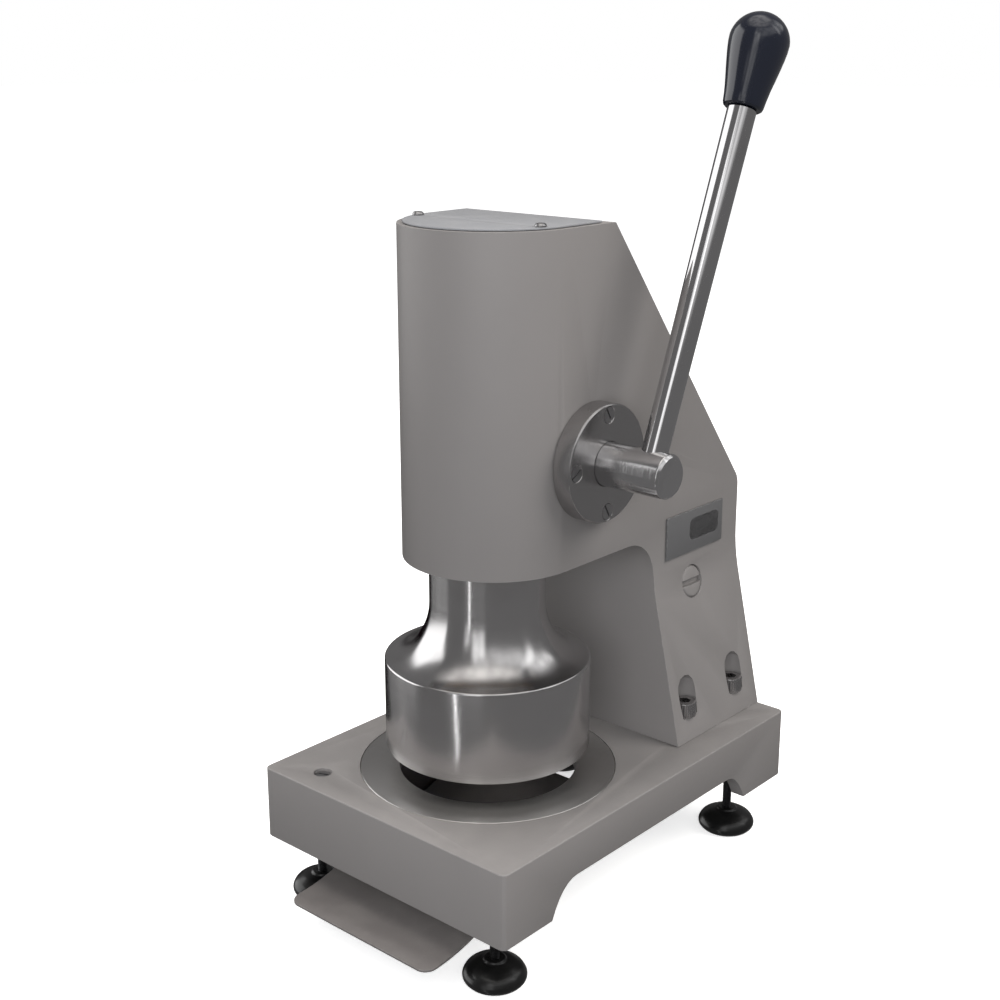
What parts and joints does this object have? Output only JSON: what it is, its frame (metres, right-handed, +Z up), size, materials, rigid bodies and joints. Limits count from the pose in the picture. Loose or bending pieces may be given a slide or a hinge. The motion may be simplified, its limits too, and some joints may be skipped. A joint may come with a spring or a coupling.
{
  "type": "hand-lever punch press",
  "caption": "Bench punch press: grey cast C-frame on a base with levelling feet, polished bell punch over a round die, side lever working a rack and pinion, sheet chute below.",
  "frame": {"origin": "on the floor, in the middle of the bounding box; the ram axis stands at x -8 mm, y -37 mm", "axes": "+Z up, front of the press (chute) towards -Y, lever on the +X side"},
  "size_m": [0.22, 0.314, 0.5519],
  "materials": {
    "grey_paint": "semi-matt warm grey paint",
    "cover_paint": "satin light grey paint",
    "polished_steel": "turned and polished",
    "machined_steel": "machined",
    "bronze": "machined bronze",
    "black_rubber": "matt",
    "black_plastic": "glossy",
    "spring_steel": "drawn wire",
    "nameplate": "blank etched plate"
  },
  "bodies": {
    "frame": {"base_casting": "grey_paint", "frame_casting": "grey_paint", "die_plate": "polished_steel", "top_cover": "cover_paint", "cover_screw_left": "machined_steel", "cover_screw_right": "machined_steel", "nameplate": "nameplate", "side_plug": "grey_paint", "base_screw": "machined_steel", "column_bolt_front_left": "machined_steel", "column_bolt_front_right": "machined_steel", "column_bolt_rear_left": "machined_steel", "column_bolt_rear_right": "machined_steel", "die_screw_front_left": "machined_steel", "die_screw_front_right": "machined_steel", "die_screw_rear_left": "machined_steel", "die_screw_rear_right": "machined_steel", "catch_chute": "grey_paint", "chute_bracket_left": "machined_steel", "chute_bracket_right": "machined_steel", "chute_screw_left": "machined_steel", "chute_screw_right": "machined_steel", "bracket_screw_left": "machined_steel", "bracket_screw_right": "machined_steel", "bearing_flange": "polished_steel", "flange_screw_top": "machined_steel", "flange_screw_bottom": "machined_steel", "flange_screw_front": "machined_steel", "flange_screw_rear": "machined_steel", "left_bearing_cap": "polished_steel", "cap_screw_1": "machined_steel", "cap_screw_2": "machined_steel", "cap_screw_3": "machined_steel", "neck_bush": "bronze", "guide_bridge": "machined_steel", "bridge_screw_left": "machined_steel", "bridge_screw_right": "machined_steel", "upper_bush": "bronze", "return_spring": "spring_steel"},
    "ram": {"punch_bell": "polished_steel", "rack_rod": "machined_steel", "ring_blade": "machined_steel", "ejector_pad": "black_rubber", "punch_bolt": "machined_steel", "spring_collar": "machined_steel", "rod_nut": "machined_steel"},
    "lever": {"lever_shaft": "polished_steel", "lever_bar": "polished_steel", "lever_knob": "black_plastic", "rack_pinion": "machined_steel", "pinion_key": "machined_steel", "pinion_collar": "machined_steel"},
    "foot_front_left": {"foot_pad_front_left": "black_plastic", "foot_stud_front_left": "machined_steel"},
    "foot_front_right": {"foot_pad_front_right": "black_plastic", "foot_stud_front_right": "machined_steel"},
    "foot_rear_left": {"foot_pad_rear_left": "black_plastic", "foot_stud_rear_left": "machined_steel"},
    "foot_rear_right": {"foot_pad_rear_right": "black_plastic", "foot_stud_rear_right": "machined_steel"}
  },
  "joints": [
    {"name": "lever_swing", "type": "hinge", "parent": "frame", "child": "lever", "pos_m": [-0.008, -0.007, 0.293], "axis": [1, 0, 0], "range_deg": [0, 50.5]},
    {"name": "ram_slide", "type": "slide", "parent": "frame", "child": "ram", "axis": [0, 0, -1], "range_m": [0, 0.015], "stiffness_N_per_m": 6000, "springref_m": -0.02, "deforming": ["return_spring"]},
    {"name": "foot_turn_front_left", "type": "hinge", "parent": "frame", "child": "foot_front_left", "pos_m": [-0.083, -0.115, 0], "axis": [0, 0, 1], "range_deg": [-1440, 1440]},
    {"name": "foot_turn_front_right", "type": "hinge", "parent": "frame", "child": "foot_front_right", "pos_m": [0.067, -0.115, 0], "axis": [0, 0, 1], "range_deg": [-1440, 1440]},
    {"name": "foot_turn_rear_left", "type": "hinge", "parent": "frame", "child": "foot_rear_left", "pos_m": [-0.083, 0.1315, 0], "axis": [0, 0, 1], "range_deg": [-1440, 1440]},
    {"name": "foot_turn_rear_right", "type": "hinge", "parent": "frame", "child": "foot_rear_right", "pos_m": [0.067, 0.1315, 0], "axis": [0, 0, 1], "range_deg": [-1440, 1440]}
  ],
  "couplings": [
    {"joint": "ram_slide", "follows": "lever_swing", "m_per_rad": 0.017}
  ]
}
